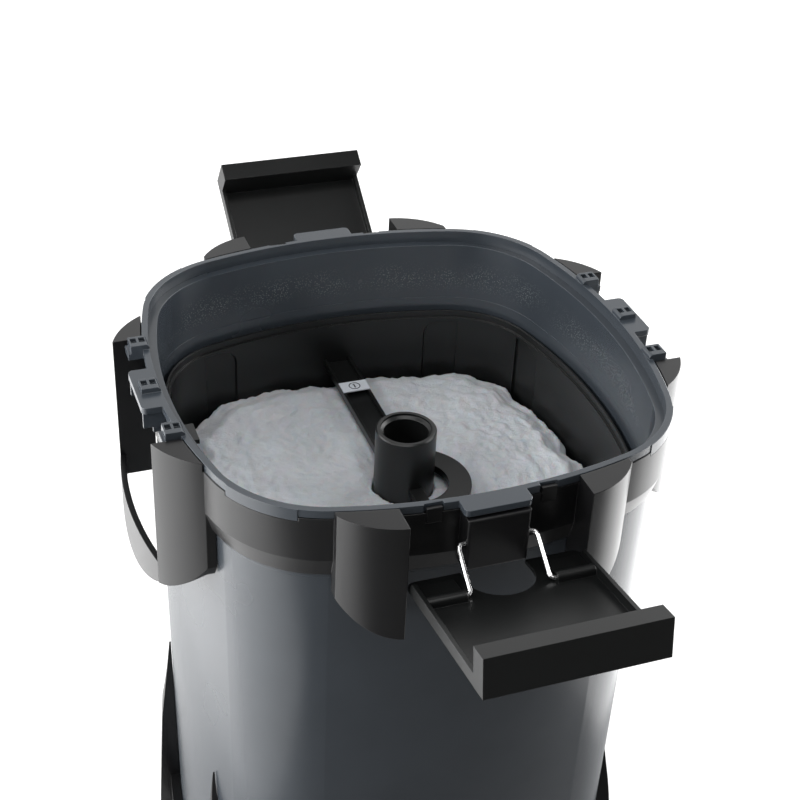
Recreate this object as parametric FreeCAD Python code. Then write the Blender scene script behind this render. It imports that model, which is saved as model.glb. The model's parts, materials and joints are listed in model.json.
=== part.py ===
import FreeCAD, Part
import math
import os

# Canister filter body with its carrying frame, two draw latches and three lift-out
# baskets, shown open with the pump head taken off.
# Millimetres, +Z up. The origin is the centre of the underside that rests on the floor.
# The front latch is on the -Y side, the rear latch on +Y, the carrying straps on +X and -X.

V = FreeCAD.Vector
os.makedirs("parts", exist_ok=True)

# Canister shell
canister_height = 340.0
lip_half_x = 122.2
lip_half_y = 123.7
side_bow_radius = 275.0
corner_radius = 58.5
lip_height = 4.0
lip_wall = 3.0
ledge_depth = 6.5
shoulder_inset = 1.5
shoulder_depth = 9.2
canister_wall = 3.0
neck_inset = 4.3
neck_depth = 40.0
foot_inset = 7.5
foot_round = 10.0
foot_round_inset = 5.5
canister_floor = 4.0
floor_rib_height = 10.0
floor_rib_width = 5.0

# Lip tabs and clip blocks
tab_reach = 7.8
side_tab_reach = 9.1
tab_half_width_front = 15.8
tab_half_width_side = 17.0
tab_thickness = 3.2
tab_corner_round = 2.5
tab_rib_width = 1.6
tab_rib_place = 13.6
tab_rib_drop = 12.0
tab_rib_reach = 8.5
tab_stem_place = 8.0
tab_stem_drop = 19.0
tab_stem_reach = 3.0
corner_tab_width = 36.0
corner_tab_depth = 6.0
corner_tab_inner = 30.0
corner_tab_outer = 10.0
clip_spacing = 38.5
clip_width = 9.0
clip_reach = 6.6
clip_overhang = 2.6
clip_rise = 2.6
clip_drop = 5.0
clip_round = 2.0
clip_step_reach = 1.4
clip_step_drop = 1.6
pocket_length = 2.9
pocket_width = 4.2
pocket_web = 1.2
pocket_end_wall = 1.4
pocket_shift = 0.8
pocket_floor = 0.6
snap_offset = 27.0
snap_half_width = 4.5
snap_notch_depth = 1.2
snap_hook_half_width = 3.6
snap_hook_rise = 2.8
snap_hook_drop = 9.0
snap_hook_inner = 0.7
snap_hook_outer = 1.4

# Carrying frame
frame_clearance = 0.3
band_overlap = 0.4
band_depth = 27.0
band_chamfer = 10.0
band_foot_wall = 1.5
side_window_depth = 22.0
pillar_wall = 2.2
pillar_cap = 2.6
pillar_side_run = 6.0
pillar_wall_bulge = 0.2
pillar_foot_mid = 0.6
pillar_foot_sag = 0.3
front_pillar_reach = 135.6
front_pillar_inner = 42.5
front_pillar_width = 27.0
front_pillar_bulge = 3.4
front_pillar_drop = 62.0
front_pillar_rise = 18.0
front_pillar_root = 11.0
side_pillar_reach = 133.2
side_pillar_inner = 44.9
side_pillar_width = 22.0
side_pillar_bulge = 2.6
side_pillar_drop = 81.0
side_pillar_rise = 26.0
side_pillar_root = 14.0
strap_bow = 4.8
strap_thickness = 3.0
strap_top_drop = 68.0
strap_dip = 12.0
strap_step = 0.8

# Draw latches
latch_block_half_width = 14.9
latch_block_reach = 133.0
latch_block_top = 4.6
latch_block_height = 27.7
latch_block_round = 1.6
latch_block_root = 6.0
wire_radius = 1.0
wire_hole_clearance = 0.1
wire_end_gap = 0.3
wire_bend = 2.4
wire_plane = 18.5
wire_leg_in = 9.0
wire_leg_out = 27.0
wire_sides = 12
wire_bend_steps = 3
bail_pivot_setback = 2.0
bail_pivot_drop = 17.5
bail_length = 22.6
bail_rest_angle = 35.1
bail_closed_angle = 77.2
lever_half_width = 41.2
lever_tail = 20.5
lever_reach = 57.5
bar_thickness = 10.0
bar_height = 19.0
lever_wall = 2.0
lever_wall_height = 6.3
lever_floor = 1.8
lever_pivot_height = 3.2
lever_tail_round = 4.0
lever_boss_radius = 2.8
lever_boss_start = 21.0
lever_pad_gap = 6.0
notch_half_width = 15.5
notch_depth = 24.5
lever_rest_tilt = 9.2
lever_closed_tilt = 90.0
rear_closed_share = 1.0 / 3.0

# Base
base_plate = 6.0
base_ring_height = 22.0
base_ring_inset = 1.6
base_edge = 2.5
boot_flare = 5.5
boot_height = 131.0
boot_mid_flare = 1.6
boot_mid_share = 0.55
boot_high_share = 0.85
boot_high_pull = 0.6
boot_low_height = 40.0
boot_side_start = 52.0
boot_front_start = 48.0
boot_tip_wall = 0.9
boot_front_end = 14.0
boot_low_fall = 4.0
boot_curve_run = 17.0
boot_curve_share = 0.58
pad_half_width = 8.0
pad_corner = 3.0
pad_thickness = 2.5
pad_spacing = 84.0

# Baskets
stack_gap = 0.3
basket_wall = 2.2
basket_floor = 2.6
basket_wall_gap = 1.7
prefilter_top_drop = 47.0
prefilter_depth = 67.0
slot_width = 6.0
slot_length = 36.0
slot_pitch_x = 17.0
slot_pitch_y = 46.0
slot_columns = 11
slot_rows = 4
slot_corner_share = 0.75
basket_rim_height = 4.0
basket_rim_wall = 1.1
window_inner = 18.5
window_outer = 35.5
window_round = 9.0
window_recess = 1.2
window_foot = 4.0
window_head = 6.0
chimney_radius = 19.6
chimney_wall = 2.6
chimney_seat = 1.0
chimney_top_gap = 1.0
socket_height = 12.0
lug_width = 14.0
lug_shift = -10.0
lug_height = 25.0
lug_thickness = 3.0
lug_flange = 3.4
lug_flange_height = 2.4

# Riser tube with its bridge and finger loop
tube_x = 5.2
tube_y = -3.2
tube_radius = 15.75
tube_bore = 11.6
tube_step_radius = 13.3
tube_step_depth = 2.5
tube_top_drop = 46.0
tube_clearance = 0.3
tube_rim_edge = 0.8
tube_joint_gap = 0.1
bridge_width = 15.6
bridge_drop = 77.5
bridge_thickness = 2.0
bridge_flange = 2.5
bridge_flange_wall = 1.5
plate_length = 9.5
plate_thickness = 0.8
plate_from_centre = 77.9
loop_offset_x = 2.8
loop_offset_y = -9.5
loop_inner = 17.3
loop_outer = 29.2
loop_thickness = 4.0
loop_start_angle = -95.0
loop_end_angle = 72.0
loop_leg_width = 7.0
loop_leg_offset = 2.0

# Filter media
soft_clearance = 0.6
sponge_thickness = 11.0
floss_gap = 1.5
floss_edge_inset = 3.5
floss_crown_inset = 12.0
floss_low_share = 0.3
floss_mid_share = 0.7
floss_high_share = 0.92
floss_mid_pull = 0.3
floss_high_pull = 1.6
media_headroom = 8.0

# How far a cutting shape runs past the face that it cuts, and how close two faces must be
# to count as one
overrun = 1.0
same = 0.01

# Heights and reaches that follow from the sizes above
lip_z = canister_height
neck_z = lip_z - neck_depth
bottom_z = base_plate
floor_top = bottom_z + canister_floor
ledge_z = lip_z - ledge_depth
shoulder_z = lip_z - shoulder_depth
flare = neck_inset - shoulder_inset
bail_pivot_reach = latch_block_reach - bail_pivot_setback


def corner_centre():
    """Centre of the corner arc that touches both bowed sides, in the first quadrant."""
    reach = side_bow_radius - corner_radius
    along_y = V(0, lip_half_y - side_bow_radius, 0)
    along_x = V(lip_half_x - side_bow_radius, 0, 0)
    middle = (along_y + along_x) * 0.5
    gap = along_x - along_y
    rise = math.sqrt(reach ** 2 - (gap.Length / 2) ** 2)
    normal = V(-gap.y, gap.x, 0)
    normal.normalize()
    centre = middle + normal * rise
    if centre.x < 0:
        centre = middle - normal * rise
    return centre, along_y, along_x


def outline_wire(offset, z):
    """Rounded square with bowed sides, moved outwards by offset from the lip's outline."""
    centre, along_y, along_x = corner_centre()
    low = math.atan2(centre.y - along_x.y, centre.x - along_x.x)
    high = math.atan2(centre.y - along_y.y, centre.x - along_y.x)
    corner = corner_radius + offset
    bow = side_bow_radius + offset
    start = V(centre.x + corner * math.cos(low), centre.y + corner * math.sin(low), z)
    end = V(centre.x + corner * math.cos(high), centre.y + corner * math.sin(high), z)
    turn = (low + high) / 2
    mid = V(centre.x + corner * math.cos(turn), centre.y + corner * math.sin(turn), z)
    side_mid = V(along_x.x + bow, 0, z)
    top_mid = V(0, along_y.y + bow, z)
    edges = [
        arc(flip(start, 1, -1), side_mid, start),
        arc(start, mid, end),
        arc(end, top_mid, flip(end, -1, 1)),
        arc(flip(end, -1, 1), flip(mid, -1, 1), flip(start, -1, 1)),
        arc(flip(start, -1, 1), flip(side_mid, -1, 1), flip(start, -1, -1)),
        arc(flip(start, -1, -1), flip(mid, -1, -1), flip(end, -1, -1)),
        arc(flip(end, -1, -1), flip(top_mid, 1, -1), flip(end, 1, -1)),
        arc(flip(end, 1, -1), flip(mid, 1, -1), flip(start, 1, -1)),
    ]
    return Part.Wire(edges)


def flip(point, sign_x, sign_y):
    return V(point.x * sign_x, point.y * sign_y, point.z)


def arc(start, mid, end):
    return Part.Arc(start, mid, end).toShape()


def line(start, end):
    return Part.LineSegment(start, end).toShape()


def outline_prism(offset, low, high):
    return Part.Face(outline_wire(offset, low)).extrude(V(0, 0, high - low))


def outline_loft(sections, ruled=True):
    """Solid through several outlines, given as (offset, height) pairs."""
    wires = [outline_wire(offset, z) for offset, z in sections]
    return Part.makeLoft(wires, True, ruled)


def block(x0, x1, y0, y1, z0, z1):
    return Part.makeBox(x1 - x0, y1 - y0, z1 - z0, V(x0, y0, z0))


def cylinder(radius, start, length, axis):
    return Part.makeCylinder(radius, length, start, axis)


def turned(shape, degrees, point=V(0, 0, 0), axis=V(0, 0, 1)):
    copy = shape.copy()
    copy.rotate(point, axis, degrees)
    return copy


def mirrored(shape, normal):
    return shape.mirror(V(0, 0, 0), normal)


def with_mirror(shape, normal):
    return [shape, mirrored(shape, normal)]


def fused(shapes):
    return shapes[0].multiFuse(shapes[1:])


def save(name, shape):
    solid = shape.Solids[0]
    if len(shape.Solids) != 1 or not solid.isValid():
        print("fault in", name)
    print(name, len(shape.Solids), round(shape.Volume))
    solid.exportStep("parts/" + name + ".step")


def shell_inset(z):
    """Inset of the canister's outer face below the neck, at a given height."""
    share = (neck_z - z) / (neck_z - bottom_z - foot_round)
    return neck_inset + (foot_inset - neck_inset) * max(0.0, min(1.0, share))


def cavity_inset(z):
    return shell_inset(z) + canister_wall


# Canister shell

def side_tab(half_width, reach_from, reach_to):
    plate = block(-half_width, half_width, reach_from, reach_to, lip_z - tab_thickness, lip_z)
    corners = [edge for edge in plate.Edges if is_upright(edge, reach_to)]
    return plate.makeFillet(tab_corner_round, corners)


def is_upright(edge, y):
    box = edge.BoundBox
    return box.ZLength > tab_thickness / 2 and abs(box.YMin - y) < same and box.YLength < same


def corner_tab_tool(width, low):
    """Upright block on one diagonal, as wide as a corner tab."""
    centre = corner_centre()[0]
    reach = math.hypot(centre.x, centre.y) + corner_radius
    tool = block(reach - corner_tab_inner, reach + corner_tab_outer, -width / 2, width / 2, low,
                 lip_z + overrun)
    return turned(tool, 45)


def corner_tabs():
    ring = outline_prism(band_overlap, lip_z - corner_tab_depth, lip_z)
    ring = ring.cut(outline_prism(-lip_wall, lip_z - corner_tab_depth - overrun, lip_z + overrun))
    tool = corner_tab_tool(corner_tab_width, lip_z - corner_tab_depth)
    return [ring.common(turned(tool, quarter * 90)) for quarter in range(4)]


def clip_block():
    """Hook block over the lip on the +X side, with two open pockets in its top."""
    inner = lip_half_x - clip_overhang
    outer = lip_half_x + clip_reach
    half = clip_width / 2
    top = lip_z + clip_rise
    body = block(inner, outer, -half, half, lip_z, top)
    nose = [edge for edge in body.Edges
            if edge.BoundBox.YLength > half
            and abs(edge.BoundBox.ZMin - top) < same and edge.BoundBox.XMax < inner + same]
    body = body.makeFillet(clip_round, nose)
    stem = block(lip_half_x - lip_wall / 2, outer, -half, half, lip_z - clip_drop, lip_z)
    step = block(lip_half_x, outer + clip_step_reach, -half, half, lip_z - clip_drop,
                 lip_z - clip_step_drop)
    body = fused([body, stem, step])
    for index in range(2):
        start = inner + pocket_end_wall + index * (pocket_length + pocket_web)
        body = body.cut(block(start, start + pocket_length, pocket_shift - pocket_width / 2,
                              pocket_shift + pocket_width / 2, lip_z + pocket_floor, top + overrun))
    return body


def tab_ribs():
    """Thin ribs and stems below the tab on the +X side, down the outside of the wall."""
    inner = lip_half_x - neck_inset - overrun
    under = lip_z - tab_thickness
    rib = block(inner, lip_half_x + tab_rib_reach, tab_rib_place, tab_rib_place + tab_rib_width,
                lip_z - tab_rib_drop, under)
    stem = block(inner, lip_half_x + tab_stem_reach, tab_stem_place,
                 tab_stem_place + tab_rib_width, lip_z - tab_stem_drop, under)
    return with_mirror(rib, V(0, 1, 0)) + with_mirror(stem, V(0, 1, 0))


def bow_sag(place):
    """How far the lip's bowed edge falls back at a distance from the middle of a side."""
    return side_bow_radius - math.sqrt(side_bow_radius ** 2 - place ** 2)


def canister_body():
    """Shell from the floor to the foot of the neck, with a cross of ribs on its floor."""
    outside = outline_loft([
        (-foot_inset - foot_round_inset, bottom_z),
        (-foot_inset, bottom_z + foot_round),
        (-neck_inset, neck_z),
    ])
    cavity = outline_loft([
        (-foot_inset - foot_round_inset - canister_wall, floor_top),
        (-foot_inset - canister_wall, floor_top + foot_round),
        (-neck_inset - canister_wall, neck_z),
        (-neck_inset - canister_wall, neck_z + overrun),
    ])
    rib_reach = lip_half_x - foot_inset - foot_round_inset - canister_wall
    half = floor_rib_width / 2
    top = floor_top + floor_rib_height
    ribs = [block(-rib_reach, rib_reach, -half, half, floor_top, top),
            block(-half, half, -rib_reach, rib_reach, floor_top, top)]
    return fused([outside.cut(cavity)] + ribs)


def neck_outside():
    return outline_loft([
        (-neck_inset, neck_z),
        (-neck_inset, shoulder_z - flare),
        (-shoulder_inset, shoulder_z),
        (-shoulder_inset, ledge_z),
    ])


def canister_neck():
    """Straight neck with a shoulder that carries the lip."""
    bore = outline_prism(-neck_inset - canister_wall, neck_z - overrun, ledge_z + overrun)
    return neck_outside().cut(bore)


def canister_lip():
    """Lip ring with its latch tabs, corner tabs and clip blocks, on the canister's shoulder."""
    ring = fused([outline_prism(-shoulder_inset, ledge_z, lip_z),
                  outline_prism(0, lip_z - lip_height, lip_z)])
    front_tab = side_tab(tab_half_width_front, lip_half_y - lip_wall, lip_half_y + tab_reach)
    right_tab = side_tab(tab_half_width_side, lip_half_x - lip_wall, lip_half_x + side_tab_reach)
    tabs = with_mirror(front_tab, V(0, 1, 0)) + with_mirror(turned(right_tab, -90), V(1, 0, 0))
    for rib in tab_ribs():
        tabs += with_mirror(rib, V(1, 0, 0))
    ring = fused([ring] + tabs + corner_tabs())
    ring = ring.cut(outline_prism(-lip_wall, ledge_z - overrun, lip_z + overrun)).cut(neck_outside())
    clips = []
    for place in (-clip_spacing, 0.0, clip_spacing):
        clip = clip_block()
        clip.translate(V(-bow_sag(place), place, 0))
        clips += with_mirror(clip, V(1, 0, 0))
    edge = lip_half_y - bow_sag(snap_offset)
    for place in (-snap_offset, snap_offset):
        notch = block(place - snap_half_width, place + snap_half_width, edge - snap_notch_depth,
                      lip_half_y + tab_reach, ledge_z - overrun, lip_z + overrun)
        ring = ring.cut(notch).cut(mirrored(notch, V(0, 1, 0)))
    return fused([ring] + clips)


# Carrying frame

def lobe_wire(inner, reach, width, bulge, root, z, wall=0.0):
    """Plan of a half-round pillar: a flat edge on the gap's side and a curved outer side."""
    edge_x = inner + wall
    front = reach - wall
    far_x = inner + width - wall
    far_y = root + pillar_side_run
    chord_mid = V((edge_x + far_x) / 2, (front + far_y) / 2, z)
    run = V(far_x - edge_x, far_y - front, 0)
    normal = V(-run.y, run.x, 0)
    normal.normalize()
    mid = chord_mid + normal * (bulge + wall * pillar_wall_bulge)
    points = [V(edge_x, root, z), V(edge_x, front, z), V(far_x, far_y, z), V(far_x, root, z)]
    return Part.Wire([
        line(points[0], points[1]),
        arc(points[1], mid, points[2]),
        line(points[2], points[3]),
        line(points[3], points[0]),
    ])


def pillar(inner, reach, width, bulge, root, drop, rise):
    """Hollow pillar on the +Y side, open below and closed by a cap at the lip's height."""
    low = lip_z - drop
    solid = Part.Face(lobe_wire(inner, reach, width, bulge, root, low)).extrude(V(0, 0, drop))
    hollow = Part.Face(lobe_wire(inner, reach, width, bulge, root, low - overrun, pillar_wall))
    solid = solid.cut(hollow.extrude(V(0, 0, drop + overrun - pillar_cap)))
    start = V(inner - overrun, root - overrun, low)
    mid = V(inner + width * pillar_foot_mid, root - overrun, low + rise * pillar_foot_sag)
    end = V(inner + width + overrun, root - overrun, low + rise)
    below = V(inner + width + overrun, root - overrun, low - overrun)
    corner = V(inner - overrun, root - overrun, low - overrun)
    wedge = Part.Wire([arc(start, mid, end), line(end, below), line(below, corner), line(corner, start)])
    return solid.cut(Part.Face(wedge).extrude(V(0, reach, 0)))


def pillars():
    front_root = lip_half_y - front_pillar_root
    side_root = lip_half_x - side_pillar_root
    front = pillar(front_pillar_inner, front_pillar_reach, front_pillar_width, front_pillar_bulge,
                   front_root, front_pillar_drop, front_pillar_rise)
    side = pillar(side_pillar_inner, side_pillar_reach, side_pillar_width, side_pillar_bulge,
                  side_root, side_pillar_drop, side_pillar_rise)
    side = turned(side, -90)
    shapes = []
    for shape in with_mirror(front, V(1, 0, 0)):
        shapes += with_mirror(shape, V(0, 1, 0))
    for shape in with_mirror(side, V(0, 1, 0)):
        shapes += with_mirror(shape, V(1, 0, 0))
    return shapes


def strap():
    """Carrying strap on the +X side, bowed outwards and dipping in its middle."""
    end = side_pillar_inner
    reach = side_pillar_reach
    inner = reach - strap_thickness
    low = lip_z - side_pillar_drop - strap_dip
    top = lip_z - strap_top_drop
    plan = Part.Wire([
        arc(V(reach, -end, low), V(reach + strap_bow, 0, low), V(reach, end, low)),
        line(V(reach, end, low), V(inner, end, low)),
        arc(V(inner, end, low), V(inner + strap_bow, 0, low), V(inner, -end, low)),
        line(V(inner, -end, low), V(reach, -end, low)),
    ])
    body = Part.Face(plan).extrude(V(0, 0, top - low))
    side = reach / 2
    end_low = lip_z - side_pillar_drop + strap_step
    profile = Part.Wire([
        line(V(side, -end, top), V(side, end, top)),
        line(V(side, end, top), V(side, end, end_low)),
        arc(V(side, end, end_low), V(side, 0, low), V(side, -end, end_low)),
        line(V(side, -end, end_low), V(side, -end, top)),
    ])
    return body.common(Part.Face(profile).extrude(V(reach, 0, 0)))


def latch_block():
    """Block on the -Y side that carries the bail wires, drilled from both ends."""
    top = lip_z - latch_block_top
    body = block(-latch_block_half_width, latch_block_half_width, -latch_block_reach,
                 -lip_half_y + latch_block_root, top - latch_block_height, top)
    fronts = [edge for edge in body.Edges
              if edge.BoundBox.YMax < -latch_block_reach + same and edge.BoundBox.YLength < same]
    body = body.makeFillet(latch_block_round, fronts)
    bore = wire_radius + wire_hole_clearance
    start = V(wire_leg_in - wire_end_gap, -bail_pivot_reach, lip_z - bail_pivot_drop)
    hole = cylinder(bore, start, latch_block_half_width, V(1, 0, 0))
    return body.cut(hole).cut(mirrored(hole, V(1, 0, 0)))


def snap_hooks():
    """Small hooks of the band that stand in the lip's notches on the +Y side."""
    edge = lip_half_y - bow_sag(snap_offset)
    return [block(place - snap_hook_half_width, place + snap_hook_half_width,
                  edge - snap_hook_inner, edge + snap_hook_outer,
                  lip_z - snap_hook_drop, lip_z - lip_height + snap_hook_rise)
            for place in (-snap_offset, snap_offset)]


def frame_bore():
    """Room inside the frame for the neck and its shoulder, with the frame's clearance."""
    drop = frame_clearance * (math.sqrt(2.0) - 1)
    inner = frame_clearance - neck_inset
    upper = frame_clearance - shoulder_inset
    return outline_loft([
        (inner, lip_z - side_pillar_drop - overrun),
        (inner, shoulder_z - flare - drop),
        (upper, shoulder_z - drop),
        (upper, lip_z + overrun),
    ])


def collar_frame():
    top = lip_z - lip_height - frame_clearance
    band = outline_loft([
        (frame_clearance - neck_inset + band_foot_wall, lip_z - band_depth - band_chamfer),
        (band_overlap, lip_z - band_depth),
        (band_overlap, top),
    ])
    half = side_pillar_inner + pillar_wall
    window = block(lip_half_x / 2, lip_half_x * 2, -half, half, lip_z - side_window_depth, lip_z)
    band = band.cut(window).cut(mirrored(window, V(1, 0, 0)))
    for quarter in range(4):
        tool = corner_tab_tool(corner_tab_width + 2 * frame_clearance,
                               lip_z - corner_tab_depth - frame_clearance)
        band = band.cut(turned(tool, quarter * 90))
    lip_room = outline_prism(frame_clearance + band_overlap, top, lip_z + overrun)
    shapes = [band] + [shape.cut(lip_room) for shape in pillars()]
    shapes += with_mirror(latch_block(), V(0, 1, 0))
    for hook in snap_hooks():
        shapes += with_mirror(hook, V(0, 1, 0))
    bore = frame_bore()
    return fused([shape.cut(bore) for shape in shapes])


# Draw latches. Shapes are made for the front latch around their own pivot.

def bail_direction(angle):
    """From the bail's pivot towards the lever's pivot, for the front latch."""
    turn = math.radians(angle)
    return V(0, -math.cos(turn), -math.sin(turn))


def bail_wire(angle):
    """One bent wire in the upright plane through both pivots, on the +X side."""
    across = V(1, 0, 0)
    down = bail_direction(angle)
    pivot = V(0, -bail_pivot_reach, lip_z - bail_pivot_drop)
    start = pivot + across * wire_leg_in
    first = pivot + across * wire_plane
    second = first + down * bail_length
    end = pivot + down * bail_length + across * wire_leg_out
    points = [start] + bend(first, across, down) + bend(second, down, across) + [end]
    path = Part.makePolygon(points)
    turns = [2 * math.pi * k / wire_sides for k in range(wire_sides + 1)]
    ring = [start + V(0, math.cos(turn), math.sin(turn)) * wire_radius for turn in turns]
    return path.makePipeShell([Part.makePolygon(ring)], True, False, 1)


def bend(corner, incoming, outgoing):
    """Points of a round bend between two directions at right angles."""
    centre = corner - incoming * wire_bend + outgoing * wire_bend
    points = []
    for step in range(wire_bend_steps + 1):
        turn = math.pi / 2 * step / wire_bend_steps
        points.append(centre - outgoing * (wire_bend * math.cos(turn))
                      + incoming * (wire_bend * math.sin(turn)))
    return points


def lever_plan(low, high):
    """Lever floor seen from above, with its rounded tail and the finger notch."""
    w = lever_half_width
    tail = lever_tail
    r = lever_tail_round
    k = r * (1 - math.sqrt(0.5))
    n = notch_half_width
    deep = tail - notch_depth
    turn = deep + n
    end = -(lever_reach + bar_thickness)
    edges = [
        line(V(-w, end, low), V(w, end, low)),
        line(V(w, end, low), V(w, tail - r, low)),
        arc(V(w, tail - r, low), V(w - k, tail - k, low), V(w - r, tail, low)),
        line(V(w - r, tail, low), V(n, tail, low)),
        line(V(n, tail, low), V(n, turn, low)),
        arc(V(n, turn, low), V(0, deep, low), V(-n, turn, low)),
        line(V(-n, turn, low), V(-n, tail, low)),
        line(V(-n, tail, low), V(-w + r, tail, low)),
        arc(V(-w + r, tail, low), V(-w + k, tail - k, low), V(-w, tail - r, low)),
        line(V(-w, tail - r, low), V(-w, end, low)),
    ]
    return Part.Face(Part.Wire(edges)).extrude(V(0, 0, high - low))


def lever_flat():
    """Lever lying flat with its pivot at the origin and its bar towards -Y."""
    low = -lever_pivot_height
    top = low + lever_wall_height
    w = lever_half_width
    floor = lever_plan(low, low + lever_floor)
    wall_start = lever_tail - lever_tail_round
    ramp = lever_wall_height - lever_floor
    side = Part.Wire([
        line(V(w - lever_wall, wall_start, low + lever_floor / 2),
             V(w - lever_wall, wall_start - ramp, top)),
        line(V(w - lever_wall, wall_start - ramp, top), V(w - lever_wall, -lever_reach - overrun, top)),
        line(V(w - lever_wall, -lever_reach - overrun, top),
             V(w - lever_wall, -lever_reach - overrun, low + lever_floor / 2)),
        line(V(w - lever_wall, -lever_reach - overrun, low + lever_floor / 2),
             V(w - lever_wall, wall_start, low + lever_floor / 2)),
    ])
    wall = Part.Face(side).extrude(V(lever_wall, 0, 0))
    bar = block(-w, w, -lever_reach - bar_thickness, -lever_reach, low, low + bar_height)
    boss_length = w - lever_wall / 2 - lever_boss_start
    boss = cylinder(lever_boss_radius, V(lever_boss_start, 0, 0), boss_length, V(1, 0, 0))
    foot = block(lever_boss_start, lever_boss_start + boss_length, -lever_boss_radius,
                 lever_tail - lever_pad_gap, low + lever_floor / 2, 0)
    boss = boss.fuse(foot)
    boss = boss.cut(block(-w, w, -w, w, low - lever_boss_radius, low))
    shapes = [floor, bar] + with_mirror(wall, V(1, 0, 0)) + with_mirror(boss, V(1, 0, 0))
    body = fused(shapes)
    bore = wire_radius + wire_hole_clearance
    start = lever_boss_start - overrun
    hole = cylinder(bore, V(start, 0, 0), wire_leg_out + wire_end_gap - start, V(1, 0, 0))
    return body.cut(hole).cut(mirrored(hole, V(1, 0, 0)))


def placed_lever(bail_angle, tilt):
    pivot = V(0, -bail_pivot_reach, lip_z - bail_pivot_drop)
    pivot = pivot + bail_direction(bail_angle) * bail_length
    shape = turned(lever_flat(), -tilt, V(0, 0, 0), V(1, 0, 0))
    shape.translate(pivot)
    return shape


def latch_parts(prefix, share, rear):
    """Two wires and a lever at a share of the way from open to closed."""
    bail_angle = bail_rest_angle + (bail_closed_angle - bail_rest_angle) * share
    tilt = lever_rest_tilt + (lever_closed_tilt - lever_rest_tilt) * share
    right = bail_wire(bail_angle)
    shapes = {
        prefix + "_wire_right": right,
        prefix + "_wire_left": mirrored(right, V(1, 0, 0)),
        prefix + "_lever": placed_lever(bail_angle, tilt),
    }
    if rear:
        shapes = {name: mirrored(shape, V(0, 1, 0)) for name, shape in shapes.items()}
    return shapes


# Base

def boot(sign_x, sign_y):
    """Corner boot of the base: flared at the floor and rising to a point along the side."""
    tip_inset = shell_inset(boot_height) - frame_clearance - boot_tip_wall
    outer = outline_loft([
        (boot_flare, 0),
        (boot_mid_flare, boot_height * boot_mid_share),
        (-tip_inset * boot_high_pull, boot_height * boot_high_share),
        (-tip_inset, boot_height),
    ])
    reach = lip_half_y + boot_flare + overrun
    profile = Part.Wire([
        line(V(boot_front_start, boot_side_start, 0), V(boot_front_start, boot_side_start, boot_height)),
        arc(V(boot_front_start, boot_side_start, boot_height),
            V(boot_front_start, boot_side_start + boot_curve_run, boot_height * boot_curve_share),
            V(boot_front_start, lip_half_y - boot_front_end, boot_low_height)),
        line(V(boot_front_start, lip_half_y - boot_front_end, boot_low_height),
             V(boot_front_start, reach, boot_low_height - boot_low_fall)),
        line(V(boot_front_start, reach, boot_low_height - boot_low_fall), V(boot_front_start, reach, 0)),
        line(V(boot_front_start, reach, 0), V(boot_front_start, boot_side_start, 0)),
    ])
    region = Part.Face(profile).extrude(V(lip_half_x, 0, 0))
    shape = outer.common(region)
    if sign_x < 0:
        shape = mirrored(shape, V(1, 0, 0))
    if sign_y < 0:
        shape = mirrored(shape, V(0, 1, 0))
    return shape


def base_frame():
    ring = outline_loft([
        (-base_ring_inset - base_edge, 0),
        (-base_ring_inset, base_edge),
        (-base_ring_inset, base_ring_height),
    ])
    boots = [boot(sign_x, sign_y) for sign_x in (1, -1) for sign_y in (1, -1)]
    body = fused([ring] + boots)
    bed = outline_loft([
        (-foot_inset + frame_clearance, base_plate),
        (-foot_inset + frame_clearance, base_plate + foot_round),
        (-neck_inset + frame_clearance, neck_z),
    ])
    body = body.cut(bed)
    for place in pad_places():
        body = body.cut(foot_pad(place, frame_clearance))
    return body


def foot_pad(place, grow):
    """Square pad with cut corners, grown sideways by a clearance."""
    half = pad_half_width + grow
    near = half - pad_corner
    plan = [(half, -near), (half, near), (near, half), (-near, half),
            (-half, near), (-half, -near), (-near, -half), (near, -half), (half, -near)]
    wire = Part.makePolygon([place + V(x, y, 0) for x, y in plan])
    return Part.Face(wire).extrude(V(0, 0, pad_thickness))


def pad_places():
    half = pad_spacing
    return [V(-half, -half, 0), V(half, -half, 0), V(-half, half, 0), V(half, half, 0)]


# Baskets and what they hold

def basket_offset(z):
    return -(cavity_inset(z) + basket_wall_gap)


def basket_tub(low, high):
    """Straight-walled tub with a plain floor."""
    offset = basket_offset(low)
    tub = outline_prism(offset, low, high)
    return tub.cut(outline_prism(offset - basket_wall, low + basket_floor, high + overrun))


def floor_slots(low, keep_radius):
    """Rows of slots in a basket's floor, leaving the middle solid round the tube."""
    slots = []
    for row in range(slot_rows):
        y = (row - (slot_rows - 1) / 2) * slot_pitch_y
        for column in range(slot_columns):
            x = (column - (slot_columns - 1) / 2) * slot_pitch_x
            near_x = abs(x - tube_x) < keep_radius + slot_width
            near_y = abs(y - tube_y) < keep_radius + slot_length / 2
            corner = abs(x) > lip_half_x - corner_radius * slot_corner_share and abs(y) > slot_pitch_y
            if (near_x and near_y) or corner:
                continue
            slots.append(block(x - slot_width / 2, x + slot_width / 2, y - slot_length / 2,
                               y + slot_length / 2, low - overrun, low + basket_floor + overrun))
    return slots


def upright(radius, low, high):
    """Cylinder on the riser tube's axis."""
    return cylinder(radius, V(tube_x, tube_y, low), high - low, V(0, 0, 1))


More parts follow.
